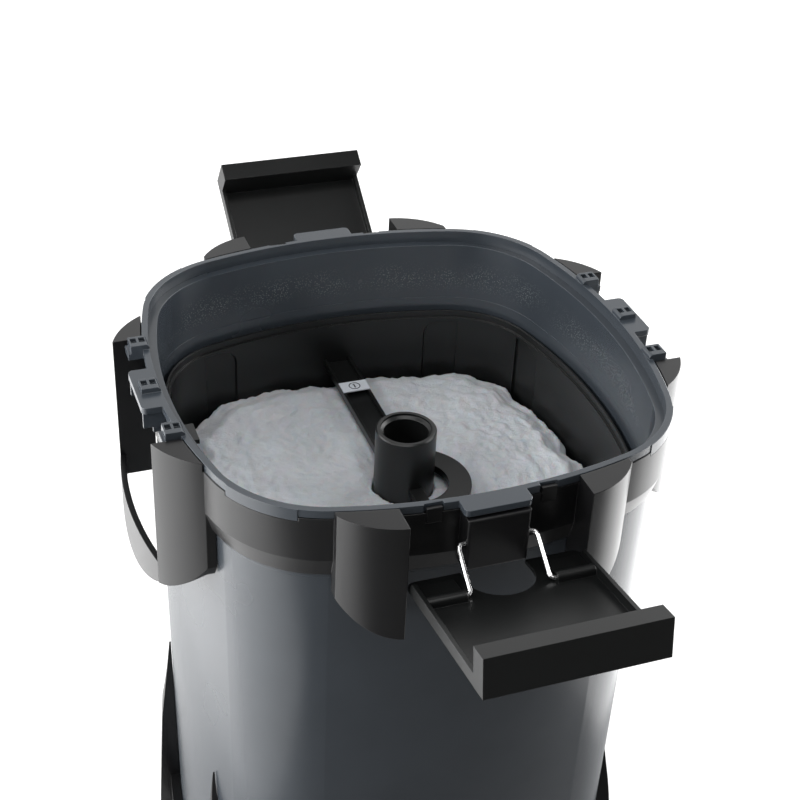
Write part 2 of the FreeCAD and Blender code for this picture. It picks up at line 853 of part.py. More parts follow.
def corner_windows(low, high):
    """Recesses on both sides of a flat panel, in the inner face of each corner."""
    foot = low + basket_floor + window_foot
    top = high - window_head
    bow = window_round * (1 - math.sqrt(0.5))
    inner, outer = window_inner, window_outer
    wire = Part.Wire([
        line(V(inner, 0, foot), V(outer, 0, foot)),
        line(V(outer, 0, foot), V(outer, 0, top - window_round)),
        arc(V(outer, 0, top - window_round), V(outer - bow, 0, top - bow),
            V(outer - window_round, 0, top)),
        line(V(outer - window_round, 0, top), V(inner, 0, top)),
        line(V(inner, 0, top), V(inner, 0, foot)),
    ])
    tool = Part.Face(wire).extrude(V(0, lip_half_x + lip_half_y, 0))
    shapes = []
    for quarter in range(4):
        for side in with_mirror(tool, V(1, 0, 0)):
            shapes.append(turned(side, 45 + quarter * 90))
    return shapes


def media_basket(low, high):
    tub = basket_tub(low, high)
    tub = tub.cut(upright(chimney_radius - chimney_seat, low - overrun, high))
    return tub.cut(Part.makeCompound(floor_slots(low, chimney_radius)))


def basket_tube(low, high):
    """Open tube that stands on a media basket's floor, round the hole in its middle."""
    tube = upright(chimney_radius, low + basket_floor, high - chimney_top_gap)
    return tube.cut(upright(chimney_radius - chimney_wall, low, high))


def prefilter_basket(low, high):
    """Wall of the prefilter basket, with a thin rim and recessed windows in its corners."""
    offset = basket_offset(low)
    wall = outline_prism(offset, low + basket_floor, high)
    wall = wall.cut(outline_prism(offset - basket_wall, low, high + overrun))
    wall = wall.cut(outline_prism(offset - basket_rim_wall, high - basket_rim_height, high + overrun))
    recess = outline_prism(offset - basket_wall + window_recess, low, high)
    windows = [window.common(recess) for window in corner_windows(low, high)]
    return wall.cut(Part.makeCompound(windows))


def prefilter_grid(low):
    """Slotted floor of the prefilter basket, with the socket that holds the riser tube."""
    body = fused([outline_prism(basket_offset(low), low, low + basket_floor),
                  upright(chimney_radius, low, low + socket_height)])
    body = body.cut(upright(tube_bore, low - overrun, low + socket_height))
    seat = upright(tube_radius + tube_clearance, low + basket_floor, low + socket_height + overrun)
    return body.cut(seat).cut(Part.makeCompound(floor_slots(low, chimney_radius)))


def lifting_lug(low, high):
    """Finger lug that stands on the rim's step on the -X side, with a flange at its top."""
    offset = basket_offset(low) - basket_rim_wall
    outer = -(lip_half_x + offset)
    inner = outer + lug_thickness
    low_y, high_y = lug_shift - lug_width / 2, lug_shift + lug_width / 2
    foot = high - basket_rim_height
    top = high + lug_height
    plate = block(outer, inner, low_y, high_y, foot, top)
    flange = block(outer, inner + lug_flange, low_y, high_y, top - lug_flange_height, top)
    return plate.fuse(flange).common(outline_prism(offset, foot, top))


def riser_tube(low):
    """Tube that takes the head's pipe, with a stepped mouth."""
    top = lip_z - tube_top_drop
    body = upright(tube_radius, low, top)
    rim = [edge for edge in body.Edges if edge.BoundBox.ZMin > top - same]
    body = body.makeChamfer(tube_rim_edge, rim).cut(upright(tube_bore, low - overrun, top + overrun))
    step = Part.makeCone(tube_bore, tube_step_radius, tube_step_depth / 2,
                         V(tube_x, tube_y, top - tube_step_depth), V(0, 0, 1))
    return body.cut(step).cut(upright(tube_step_radius, top - tube_step_depth / 2, top + overrun))


def bridge(low, high, wall_offset):
    """Channel from the tube to the basket's rear wall."""
    half = bridge_width / 2
    floor = block(tube_x - half, tube_x + half, tube_y, lip_half_y, low, low + bridge_thickness)
    flange = block(tube_x - half, tube_x - half + bridge_flange_wall, tube_y, lip_half_y, low, high)
    other = block(tube_x + half - bridge_flange_wall, tube_x + half, tube_y, lip_half_y, low, high)
    body = fused([floor, flange, other])
    body = body.common(outline_prism(wall_offset, low - overrun, high + overrun))
    return body.cut(upright(tube_radius + tube_joint_gap, low - overrun, high + overrun))


def finger_loop(low):
    """Flat half ring beside the tube, closed onto the tube by a short leg."""
    centre = V(tube_x + loop_offset_x, tube_y + loop_offset_y, low)
    outer = Part.makeCylinder(loop_outer, loop_thickness, centre, V(0, 0, 1),
                              loop_end_angle - loop_start_angle)
    outer.rotate(centre, V(0, 0, 1), loop_start_angle)
    ring = outer.cut(cylinder(loop_inner, centre, loop_thickness, V(0, 0, 1)))
    leg_y = centre.y - loop_inner - loop_leg_offset
    leg = block(centre.x - loop_leg_offset - loop_leg_width / 2,
                centre.x - loop_leg_offset + loop_leg_width / 2, leg_y, tube_y,
                low, low + loop_thickness)
    body = fused([ring, leg])
    return body.cut(upright(tube_radius + tube_joint_gap, low - overrun, low + loop_thickness + overrun))


def number_plate(top):
    half = bridge_width / 2
    start = tube_y + plate_from_centre
    return block(tube_x - half, tube_x + half, start, start + plate_length, top, top + plate_thickness)


def pierced(shape, low, high, radius):
    return shape.cut(upright(radius + soft_clearance, low - overrun, high + overrun))


def floss_pad(low, high, edge):
    """Soft pad with drawn-in lower edges and a crowned top."""
    depth = high - low
    body = outline_loft([
        (edge - floss_edge_inset, low),
        (edge, low + depth * floss_low_share),
        (edge - floss_edge_inset * floss_mid_pull, low + depth * floss_mid_share),
        (edge - floss_edge_inset * floss_high_pull, low + depth * floss_high_share),
        (edge - floss_crown_inset, high),
    ])
    return pierced(body, low, high, tube_radius)


def build():
    save("canister_body", canister_body())
    save("canister_neck", canister_neck())
    save("canister_lip", canister_lip())
    save("collar_frame", collar_frame())
    save("carry_strap_right", strap())
    save("carry_strap_left", mirrored(strap(), V(1, 0, 0)))
    save("base_frame", base_frame())
    names = ["front_left", "front_right", "rear_left", "rear_right"]
    for name, place in zip(names, pad_places()):
        save("foot_pad_" + name, foot_pad(place, 0.0))
    for name, shape in latch_parts("front", 0.0, False).items():
        save(name, shape)
    for name, shape in latch_parts("rear", rear_closed_share, True).items():
        save(name, shape)

    prefilter_top = lip_z - prefilter_top_drop
    prefilter_low = prefilter_top - prefilter_depth
    lower_low = floor_top + floor_rib_height + stack_gap
    height = (prefilter_low - lower_low - 2 * stack_gap) / 2
    middle_low = lower_low + height + stack_gap
    save("lower_basket", media_basket(lower_low, lower_low + height))
    save("middle_basket", media_basket(middle_low, middle_low + height))
    save("lower_basket_tube", basket_tube(lower_low, lower_low + height))
    save("middle_basket_tube", basket_tube(middle_low, middle_low + height))
    save("prefilter_basket", prefilter_basket(prefilter_low, prefilter_top))
    save("prefilter_grid", prefilter_grid(prefilter_low))
    save("lifting_lug", lifting_lug(prefilter_low, prefilter_top))
    for name, low in (("lower_media", lower_low), ("middle_media", middle_low)):
        start = low + basket_floor + soft_clearance / 2
        end = low + height - media_headroom
        inset = basket_offset(low) - basket_wall - soft_clearance
        save(name, pierced(outline_prism(inset, start, end), start, end, chimney_radius))

    tube_low = prefilter_low + basket_floor
    save("riser_tube", riser_tube(tube_low))
    bridge_low = lip_z - bridge_drop
    bridge_top = bridge_low + bridge_thickness + bridge_flange
    wall_offset = basket_offset(prefilter_low) - basket_wall
    save("tube_bridge", bridge(bridge_low, bridge_top, wall_offset - tube_joint_gap))
    save("finger_loop", finger_loop(bridge_low))
    save("number_plate", number_plate(bridge_top))
    pad_edge = wall_offset - soft_clearance
    sponge_low = prefilter_low + basket_floor + soft_clearance / 2
    sponge_top = sponge_low + sponge_thickness
    sponge = outline_prism(pad_edge, sponge_low, sponge_top)
    save("prefilter_sponge", pierced(sponge, sponge_low, sponge_top, chimney_radius))
    floss_low = max(sponge_top, prefilter_low + socket_height) + soft_clearance / 2
    save("floss_pad", floss_pad(floss_low, bridge_low - floss_gap, pad_edge))


build()
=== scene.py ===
import json
import math
import random
import bpy
import numpy as np
from mathutils import Matrix, Vector, noise


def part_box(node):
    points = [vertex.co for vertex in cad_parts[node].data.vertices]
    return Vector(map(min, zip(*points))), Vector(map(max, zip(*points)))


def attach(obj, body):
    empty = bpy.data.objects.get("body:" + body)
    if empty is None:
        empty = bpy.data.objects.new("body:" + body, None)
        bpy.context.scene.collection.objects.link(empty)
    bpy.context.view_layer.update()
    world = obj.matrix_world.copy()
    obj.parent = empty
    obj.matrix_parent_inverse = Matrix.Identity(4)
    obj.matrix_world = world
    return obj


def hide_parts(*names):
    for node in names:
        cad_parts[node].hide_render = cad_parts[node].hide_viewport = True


# Looks of an open canister filter: moulded plastic, steel bails, filter floss, sponge and
# ceramic rings. Metres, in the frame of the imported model.

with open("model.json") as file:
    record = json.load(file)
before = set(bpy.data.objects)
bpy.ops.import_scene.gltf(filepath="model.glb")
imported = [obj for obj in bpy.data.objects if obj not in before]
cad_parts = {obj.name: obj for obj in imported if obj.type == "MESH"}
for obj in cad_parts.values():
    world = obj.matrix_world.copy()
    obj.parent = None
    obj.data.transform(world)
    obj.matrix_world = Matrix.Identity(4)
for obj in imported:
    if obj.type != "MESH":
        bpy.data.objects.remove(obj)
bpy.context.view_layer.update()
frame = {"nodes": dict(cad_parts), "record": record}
NODES = frame["nodes"]
MM = 0.001

# Camera, as fitted to the photograph
CAMERA_AZIMUTH = math.radians(-21.124)
CAMERA_ELEVATION = math.radians(33.626)
CAMERA_ROLL = math.radians(2.793)
CAMERA_DISTANCE = 0.72895
CAMERA_TARGET = Vector((-0.014171, -0.042529, 0.340))
CAMERA_LENS = 69.74

# Plan of the lip
LIP_HALF_X = 122.2 * MM
LIP_HALF_Y = 123.7 * MM
SIDE_BOW = 275.0 * MM
CORNER = 58.5 * MM
TUBE = (5.2 * MM, -3.2 * MM)
TUBE_RADIUS = 15.75 * MM

# Holes of the soft pieces round the tubes, and the drop from the media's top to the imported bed
FLOSS_HOLE = TUBE_RADIUS + 0.6 * MM
SPONGE_HOLE = 20.2 * MM
MEDIA_HOLE = 20.4 * MM
BED_DROP = 24 * MM

# Heap of rings: grid of places and the distance between two layers
HEAP_SPAN = 0.26
HEAP_PITCH = 15.6 * MM
HEAP_COLUMNS = 18
LAYER_DROP = 12.5 * MM


# Plan outline and small mesh helpers

def corner_centre():
    """Centre of the corner arc that touches both bowed sides, in the first quadrant."""
    reach = SIDE_BOW - CORNER
    along_y = Vector((0, LIP_HALF_Y - SIDE_BOW))
    along_x = Vector((LIP_HALF_X - SIDE_BOW, 0))
    gap = along_x - along_y
    rise = math.sqrt(reach ** 2 - (gap.length / 2) ** 2)
    normal = Vector((-gap.y, gap.x)).normalized()
    middle = (along_y + along_x) / 2
    centre = middle + normal * rise
    if centre.x < 0:
        centre = middle - normal * rise
    return centre, along_y, along_x


def outline(inset, steps=24):
    """Points round the lip's outline, moved inwards by inset, counterclockwise from +X."""
    centre, along_y, along_x = corner_centre()
    low = math.atan2(centre.y - along_x.y, centre.x - along_x.x)
    high = math.atan2(centre.y - along_y.y, centre.x - along_y.x)
    quarter = []
    for origin, radius, start, end in (
            (along_x, SIDE_BOW, 0.0, low), (centre, CORNER, low, high),
            (along_y, SIDE_BOW, high, math.pi / 2)):
        for k in range(steps):
            turn = start + (end - start) * k / steps
            reach = radius - inset
            quarter.append((origin[0] + reach * math.cos(turn), origin[1] + reach * math.sin(turn)))
    quarter.append((0.0, LIP_HALF_Y - inset))
    half = quarter + [(-x, y) for x, y in reversed(quarter[:-1])]
    return np.array(half + [(-x, -y) for x, y in half[1:-1]])


def radius_table(inset):
    """Angles and distances of the outline, measured from the tube's centre."""
    points = outline(inset) - np.array(TUBE)
    angle = np.arctan2(points[:, 1], points[:, 0])
    order = np.argsort(angle)
    return angle[order], np.hypot(points[:, 0], points[:, 1])[order]


def mesh_object(name, points, faces, smooth=True):
    mesh = bpy.data.meshes.new(name)
    mesh.from_pydata([tuple(p) for p in points], [], [tuple(f) for f in faces])
    mesh.update()
    if smooth:
        mesh.polygons.foreach_set("use_smooth", [True] * len(mesh.polygons))
    obj = bpy.data.objects.new(name, mesh)
    bpy.context.scene.collection.objects.link(obj)
    return obj


def torus_faces(rows, columns):
    """Quads of a grid that closes on itself both ways."""
    faces = []
    for r in range(rows):
        for c in range(columns):
            a = r * columns + c
            b = r * columns + (c + 1) % columns
            below = ((r + 1) % rows) * columns
            faces.append((a, b, below + (c + 1) % columns, below + c))
    return faces


# Materials

class Graph:
    """Node tree of one material, with its main shader."""

    def __init__(self, name):
        self.material = bpy.data.materials.new(name)
        self.material.use_nodes = True
        self.tree = self.material.node_tree
        self.shader = self.tree.nodes["Principled BSDF"]
        self.coords = self.add("ShaderNodeTexCoord").outputs["Object"]

    def add(self, kind, **settings):
        node = self.tree.nodes.new(kind)
        for key, value in settings.items():
            setattr(node, key, value)
        return node

    def link(self, source, target):
        self.tree.links.new(source, target)

    def noise(self, scale, detail=3.0, distortion=0.0, vector=None):
        node = self.add("ShaderNodeTexNoise")
        node.inputs["Scale"].default_value = scale
        node.inputs["Detail"].default_value = detail
        node.inputs["Distortion"].default_value = distortion
        self.link(vector or self.coords, node.inputs["Vector"])
        return node.outputs["Fac"]

    def stretched(self, scale):
        node = self.add("ShaderNodeMapping")
        node.inputs["Scale"].default_value = scale
        self.link(self.coords, node.inputs["Vector"])
        return node.outputs["Vector"]

    def span(self, source, low, high, from_low=0.3, from_high=0.7):
        node = self.add("ShaderNodeMapRange", interpolation_type="SMOOTHSTEP")
        node.inputs["From Min"].default_value = from_low
        node.inputs["From Max"].default_value = from_high
        node.inputs["To Min"].default_value = low
        node.inputs["To Max"].default_value = high
        self.link(source, node.inputs["Value"])
        return node.outputs["Result"]

    def maths(self, operation, first, second):
        node = self.add("ShaderNodeMath", operation=operation)
        for slot, value in zip(node.inputs, (first, second)):
            if isinstance(value, (int, float)):
                slot.default_value = value
            else:
                self.link(value, slot)
        return node.outputs["Value"]

    def mix(self, factor, first, second):
        """Colour between two colours or sockets, by a factor socket."""
        node = self.add("ShaderNodeMix", data_type="RGBA")
        self.link(factor, node.inputs[0])
        for slot, value in ((node.inputs[6], first), (node.inputs[7], second)):
            if isinstance(value, tuple):
                slot.default_value = value + (1.0,)
            else:
                self.link(value, slot)
        return node.outputs[2]

    def bump(self, height, distance, strength=1.0, normal=None):
        node = self.add("ShaderNodeBump")
        node.inputs["Strength"].default_value = strength
        node.inputs["Distance"].default_value = distance
        self.link(height, node.inputs["Height"])
        if normal:
            self.link(normal, node.inputs["Normal"])
        return node.outputs["Normal"]

    def bevel(self, radius):
        node = self.add("ShaderNodeBevel", samples=6)
        node.inputs["Radius"].default_value = radius
        return node.outputs["Normal"]

    def edge_mask(self, rounded):
        """One along the edges that the bevel rounds, zero on flat faces."""
        flat = self.add("ShaderNodeNewGeometry").outputs["Normal"]
        node = self.add("ShaderNodeVectorMath", operation="DOT_PRODUCT")
        self.link(rounded, node.inputs[0])
        self.link(flat, node.inputs[1])
        return self.span(node.outputs["Value"], 1.0, 0.0, 0.86, 0.995)


def tint(color, factor):
    return tuple(min(1.0, c * factor) for c in color)


def moulded(name, color, roughness, edge_radius=0.5 * MM, grain=0.02 * MM, edge_highlight_and_wear=1.6, specular=0.5):
    """Injection-moulded plastic: faint flow mottling, fine grain, and polished edges painted
    lighter, partly as edge wear and partly as a painted highlight.
    """
    g = Graph(name)
    rounded = g.bevel(edge_radius)
    mottle = g.span(g.noise(22.0, 3.0), 0.0, 1.0, 0.2, 0.8)
    base = g.mix(mottle, tint(color, 0.92), tint(color, 1.08))
    # Lighter colour along the rounded edges: a painted highlight, partly edge wear.
    edge = g.maths("MULTIPLY", g.edge_mask(rounded), g.span(g.noise(90.0, 3.0), 0.2, 0.9))
    g.color = g.mix(edge, base, tint(color, edge_highlight_and_wear))
    g.link(g.color, g.shader.inputs["Base Color"])
    smear = g.span(g.noise(14.0, 3.0, 0.2), roughness - 0.02, roughness + 0.03, 0.2, 0.8)
    polished = g.maths("SUBTRACT", smear, g.maths("MULTIPLY", edge, 0.12))
    g.link(polished, g.shader.inputs["Roughness"])
    g.link(g.bump(g.noise(1900.0, 2.0), grain, 1.0, rounded), g.shader.inputs["Normal"])
    g.shader.inputs["Specular IOR Level"].default_value = specular
    return g


def dried_drops(g, lowest, highest, color):
    """Fine pale specks of dried water in a band of heights, in loose patches."""
    split = g.add("ShaderNodeSeparateXYZ")
    g.link(g.coords, split.inputs["Vector"])
    height = split.outputs["Z"]
    middle = (lowest + highest) / 2
    band = g.maths("MULTIPLY", g.span(height, 0.0, 1.0, lowest, middle),
                   g.span(height, 1.0, 0.0, middle, highest))
    cells = g.add("ShaderNodeTexVoronoi")
    cells.inputs["Scale"].default_value = 1000.0
    g.link(g.coords, cells.inputs["Vector"])
    dots = g.span(cells.outputs["Distance"], 1.0, 0.0, 0.14, 0.40)
    patches = g.span(g.noise(45.0, 3.0), 0.1, 1.0, 0.36, 0.56)
    share = g.maths("MULTIPLY", g.maths("MULTIPLY", band, dots), patches)
    g.link(g.mix(share, g.color, color), g.shader.inputs["Base Color"])
    return g


def brushed(name, color, roughness):
    g = Graph(name)
    streaks = g.noise(500.0, 2.0, 0.0, g.stretched((1.0, 0.1, 0.1)))
    g.link(g.mix(streaks, tint(color, 0.85), color), g.shader.inputs["Base Color"])
    g.link(g.span(streaks, roughness - 0.05, roughness + 0.1), g.shader.inputs["Roughness"])
    g.shader.inputs["Metallic"].default_value = 1.0
    return g


def wadding(name, color):
    """Spun polyester floss: cloudy, with tangled threads."""
    g = Graph(name)
    cloud = g.noise(55.0, 6.0, 0.6)
    threads = g.noise(420.0, 5.0, 2.6)
    knots = g.noise(1500.0, 3.0, 1.5)
    shade = g.maths("MULTIPLY", g.span(cloud, 0.55, 1.0, 0.35, 0.62), g.span(threads, 0.72, 1.0))
    g.link(g.mix(shade, tint(color, 0.80), color), g.shader.inputs["Base Color"])
    g.shader.inputs["Roughness"].default_value = 0.95
    g.shader.inputs["Specular IOR Level"].default_value = 0.15
    g.shader.inputs["Sheen Weight"].default_value = 0.25
    g.shader.inputs["Subsurface Weight"].default_value = 0.25
    g.shader.inputs["Subsurface Scale"].default_value = 2.0 * MM
    rough = g.bump(threads, 0.9 * MM, 0.7)
    g.link(g.bump(knots, 0.25 * MM, 0.6, rough), g.shader.inputs["Normal"])
    return g


def foam(name, color):
    """Open-cell sponge with dark pores."""
    g = Graph(name)
    cells = g.add("ShaderNodeTexVoronoi")
    cells.inputs["Scale"].default_value = 620.0
    g.link(g.coords, cells.inputs["Vector"])
    pores = g.span(cells.outputs["Distance"], 0.0, 1.0, 0.15, 0.6)
    g.link(g.mix(pores, tint(color, 0.25), tint(color, 1.15)), g.shader.inputs["Base Color"])
    g.shader.inputs["Roughness"].default_value = 0.9
    g.link(g.bump(cells.outputs["Distance"], 0.8 * MM, 0.8), g.shader.inputs["Normal"])
    return g


def ceramic(name, color):
    g = Graph(name)
    chalk = g.noise(260.0, 6.0)
    g.link(g.mix(g.span(chalk, 0.0, 1.0), tint(color, 0.78), tint(color, 1.08)),
           g.shader.inputs["Base Color"])
    g.shader.inputs["Roughness"].default_value = 0.88
    g.link(g.bump(g.noise(900.0, 4.0), 0.2 * MM, 0.8), g.shader.inputs["Normal"])
    return g


def rubber(name, color):
    g = Graph(name)
    g.link(g.mix(g.noise(120.0, 4.0), tint(color, 0.8), tint(color, 1.3)),
           g.shader.inputs["Base Color"])
    g.shader.inputs["Roughness"].default_value = 0.8
    g.link(g.bump(g.noise(1500.0, 3.0), 0.05 * MM), g.shader.inputs["Normal"])
    return g


def make_materials():
    # Each moulded plastic's edge factor lightens its edges: a painted highlight, partly edge wear.
    made = {
        "canister_plastic": dried_drops(
            moulded("canister_plastic", (0.042, 0.050, 0.060), 0.25, edge_highlight_and_wear=2.4, specular=0.75),
            302 * MM, 326 * MM, (0.17, 0.185, 0.19)),
        "frame_plastic": moulded(
            "frame_plastic", (0.0055, 0.0055, 0.006), 0.30, edge_highlight_and_wear=3.0, specular=0.6),
        "lever_plastic": moulded("lever_plastic", (0.0050, 0.0055, 0.0055), 0.30, edge_highlight_and_wear=3.0),
        "basket_plastic": moulded("basket_plastic", (0.0070, 0.0075, 0.0075), 0.34, edge_highlight_and_wear=2.5),
        "spring_steel": brushed("spring_steel", (0.78, 0.78, 0.78), 0.22),
        "pad_rubber": rubber("pad_rubber", (0.012, 0.012, 0.012)),
        "floss_white": wadding("floss_white", (0.70, 0.73, 0.77)),
        "sponge_blue": foam("sponge_blue", (0.03, 0.09, 0.22)),
        "media_ceramic": ceramic("media_ceramic", (0.60, 0.54, 0.46)),
        "plate_white": moulded("plate_white", (0.78, 0.82, 0.88), 0.3, grain=0.005 * MM, edge_highlight_and_wear=1.0),
        "plate_ink": moulded("plate_ink", (0.015, 0.02, 0.03), 0.5, grain=0.005 * MM, edge_highlight_and_wear=1.0),
    }
    return {name: graph.material for name, graph in made.items()}


def dress(materials):
    """Gives each carried-over solid the material of its record slot."""
    slots = {part["node"]: part["material_slot"] for part in frame["record"]["subparts"]}
    for name, obj in NODES.items():
        for place in obj.material_slots:
            place.material = materials[slots[name]]


# Filter media

def pad_grid(inset, low, top_at, side_rows, top_rows, columns, hole, tuft=0.0):
    """Closed grid of a pad round the tube: underside, bulging rim, top and hole.

    Its callers flip the normals, which leaves them pointing into the pad.

    The tuft draws the rim inwards by up to about that length, unevenly.
    """
    angles, table = radius_table(inset)
    turn = np.linspace(-math.pi, math.pi, columns, endpoint=False)
    edge = np.interp(turn, angles, table, period=2 * math.pi)
    edge = edge - tuft * np.array([
        max(0.0, 0.25 + noise.noise(Vector((math.cos(a), math.sin(a), 0.0)) * 6.0)) for a in turn])
    rows = []
    under = np.linspace(0.0, 1.0, 12)
    for share in under[:-1]:
        reach = hole + (edge - 4 * MM - hole) * share
        rows.append((reach, np.full(columns, low)))
    rim_top = top_at(turn, edge, np.ones(columns))
    for k in range(side_rows):
        lift = k / (side_rows - 1)
        pull = 4 * MM * (1 - math.sin(math.pi * min(1.0, 0.15 + lift * 0.8))) + 1.0 * MM * lift
        rows.append((edge - pull, low + (rim_top - low) * lift))
    for k in range(1, top_rows):
        share = 1.0 - k / (top_rows - 1)
        reach = hole + (edge - 5 * MM - hole) * share
        rows.append((reach, top_at(turn, reach, share)))
    points = []
    for reach, height in rows:
        for a, r, z in zip(turn, reach, height):
            points.append((TUBE[0] + r * math.cos(a), TUBE[1] + r * math.sin(a), z))
    return points, torus_faces(len(rows), columns)


def smooth_step(value):
    value = np.clip(value, 0.0, 1.0)
    return value * value * (3.0 - 2.0 * value)


def floss_height(high):
    """Height of the floss: crowned, drawn down at the rim and pressed under the bridge."""
    def height(turn, reach, share):
        x = TUBE[0] + reach * np.cos(turn)
        y = TUBE[1] + reach * np.sin(turn)
        rim = smooth_step((1.0 - share) / 0.16)
        z = high - (7.0 - 6.4 * rim) * MM
        pressed = np.exp(-((x - TUBE[0]) / (13 * MM)) ** 2) * smooth_step((y + 10 * MM) / (20 * MM))
        front = smooth_step((TUBE[1] - y) / (30 * MM)) * rim
        beside = np.exp(-((reach - TUBE_RADIUS) / (12 * MM)) ** 2)
        return z - (1.2 * pressed + 3.0 * front + 2.0 * beside) * MM
    return height


def ruffle(obj, layers, lowest, highest):
    """Moves the vertices along their normals by noise, in layers of (scale, depth)."""
    mesh = obj.data
    count = len(mesh.vertices)
    places = np.empty(count * 3)
    normals = np.empty(count * 3)
    mesh.vertices.foreach_get("co", places)
    mesh.vertices.foreach_get("normal", normals)
    places = places.reshape(-1, 3)
    normals = normals.reshape(-1, 3)
    shift = [sum(noise.noise(Vector(place) * scale) * depth for scale, depth in layers)
             for place in places]
    places += normals * np.array(shift)[:, None]
    places[:, 2] = np.clip(places[:, 2], lowest, highest)
    mesh.vertices.foreach_set("co", places.ravel())
    mesh.update()


def make_floss(material):
    low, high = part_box("floss_pad")
    inset = LIP_HALF_X - high[0]
    points, faces = pad_grid(inset, low[2], floss_height(high[2]), 14, 86, 420,
                             FLOSS_HOLE, 5 * MM)
    floss = mesh_object("floss", points, faces)
    floss.data.flip_normals()
    ruffle(floss, ((30.0, 2.6 * MM), (80.0, 1.0 * MM), (210.0, 1.0 * MM), (520.0, 0.6 * MM)),
           low[2], high[2] + 0.9 * MM)
    floss.data.materials.append(material)
    return floss


def thread_line(root, source, steps):
    """Points and headings of one curled thread that rises from its root and comes back."""
    heading = source.uniform(0, 2 * math.pi)
    curl = source.uniform(-3.5, 3.5)
    length = source.uniform(2.5, 8) * MM
    lift = source.uniform(0.4, 2.4) * MM
    place = root.copy()
    line = []
    for k in range(steps):
        share = k / (steps - 1)
        angle = heading + curl * share
        if k:
            place = place + Vector((math.cos(angle), math.sin(angle), 0)) * length / steps
        line.append((place + Vector((0, 0, lift * math.sin(math.pi * share) - 0.2 * MM)), angle))
    return line


def make_fibres(floss, material, count=9000):
    """Loose threads on the floss where its normals point up.

    The floss's normals point inwards, so these places are its underside, and the threads
    lie hidden in it.
    """
    source = random.Random(7)
    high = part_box("floss_pad")[1]
    angles, table = radius_table(LIP_HALF_X - high[0] + 0.5 * MM)
    tops = [v for v in floss.data.vertices if v.normal.z > 0.3]
    rim = [v for v in tops if v.normal.z < 0.85]
    points, faces = [], []
    steps, sides, thickness = 6, 3, 0.09 * MM
    for number in range(count):
        root = source.choice(tops if number % 4 == 0 else rim)
        line = thread_line(root.co, source, steps)
        away = [(p.x - TUBE[0], p.y - TUBE[1]) for p, angle in line]
        room = np.interp([math.atan2(y, x) for x, y in away], angles, table, period=2 * math.pi)
        if any(math.hypot(x, y) > most for (x, y), most in zip(away, room)):
            continue
        base = len(points)
        for centre, angle in line:
            across = Vector((-math.sin(angle), math.cos(angle), 0))
            for s in range(sides):
                turn = 2 * math.pi * s / sides
                points.append(centre + across * thickness * math.cos(turn)
                              + Vector((0, 0, thickness * math.sin(turn))))
        for k in range(steps - 1):
            for s in range(sides):
                a = base + k * sides + s
                b = base + k * sides + (s + 1) % sides
                faces.append((a, b, b + sides, a + sides))
        faces.append(tuple(base + s for s in reversed(range(sides))))
        last = base + (steps - 1) * sides
        faces.append(tuple(last + s for s in range(sides)))
    fibres = mesh_object("floss_threads", points, faces)
    fibres.data.materials.append(material)
    return fibres


def make_sponge(material):
    low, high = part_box("prefilter_sponge")
    inset = LIP_HALF_X - high[0]

    def level(turn, reach, share):
        return np.full(reach.shape, high[2] - 0.8 * MM)
    points, faces = pad_grid(inset, low[2], level, 8, 60, 260, SPONGE_HOLE)
    sponge = mesh_object("sponge", points, faces)
    sponge.data.flip_normals()
    ruffle(sponge, ((320.0, 0.35 * MM), (60.0, 0.3 * MM)), low[2], high[2])
    sponge.data.materials.append(material)
    return sponge


def ring_shape(outer, inner, half, segments=14):
    """Points and faces of a short thick tube with broken edges."""
    chamfer = (outer - inner) * 0.22
    profile = [(outer, half - chamfer), (outer - chamfer, half), (inner + chamfer, half),
               (inner, half - chamfer), (inner, chamfer - half), (inner + chamfer, -half),
               (outer - chamfer, -half), (outer, chamfer - half)]
    points = []
    for radius, z in profile:
        for s in range(segments):
            turn = 2 * math.pi * s / segments
            points.append((radius * math.cos(turn), radius * math.sin(turn), z))
    return np.array(points), np.array(torus_faces(len(profile), segments))


def make_rings(name, node, material, seed):
    """Heap of ceramic rings on a bed, in the space that the media solid holds."""
    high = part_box(node)[1]
    source = random.Random(seed)
    inset = LIP_HALF_X - high[0]
    outer = 5.4 * MM
    half = 5.2 * MM
    reach = math.hypot(outer, half)
    shape, faces = ring_shape(outer, 3.0 * MM, half)
    angles, table = radius_table(inset)
    points, quads = [], []
    for layer in range(2):
        z = high[2] - reach - layer * LAYER_DROP
        shift = HEAP_PITCH / 2 * layer
        rows = int(HEAP_SPAN / (HEAP_PITCH * 0.866))
        for row in range(rows):
            for column in range(HEAP_COLUMNS):
                x = -HEAP_SPAN / 2 + column * HEAP_PITCH + (row % 2) * HEAP_PITCH / 2 + shift
                y = -HEAP_SPAN / 2 + row * HEAP_PITCH * 0.866 + shift * 0.6
                away = math.hypot(x - TUBE[0], y - TUBE[1])
                turn = math.atan2(y - TUBE[1], x - TUBE[0])
                room = np.interp(turn, angles, table, period=2 * math.pi)
                if away + reach > room or away - reach < MEDIA_HOLE:
                    continue
                turned_by = source.uniform(0, math.pi)
                axis = Vector((source.uniform(-1, 1), source.uniform(-1, 1),
                               source.uniform(-0.4, 0.4))).normalized()
                spin = Matrix.Rotation(turned_by, 3, axis)
                turned = shape @ np.array(spin).T
                turned += np.array((x, y, z - source.uniform(0, 0.6) * MM))
                quads.append(faces + len(points) * len(shape))
                points.append(turned)
    rings = mesh_object(name, np.vstack(points), np.vstack(quads).tolist(), smooth=False)
    rings.data.materials.append(material)
    return rings


def make_bed(name, node, material):
    """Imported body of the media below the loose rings."""
    low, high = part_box(node)
    inset = LIP_HALF_X - high[0]
    top = high[2] - BED_DROP

    def level(turn, reach, share):
        return np.full(reach.shape, top)
    points, faces = pad_grid(inset + 0.4 * MM, low[2], level, 6, 44, 200, MEDIA_HOLE)
    bed = mesh_object(name, points, faces)
    bed.data.flip_normals()
    ruffle(bed, ((140.0, 2.5 * MM), (320.0, 1.0 * MM)), low[2], high[2])
    bed.data.materials.append(material)
    return bed


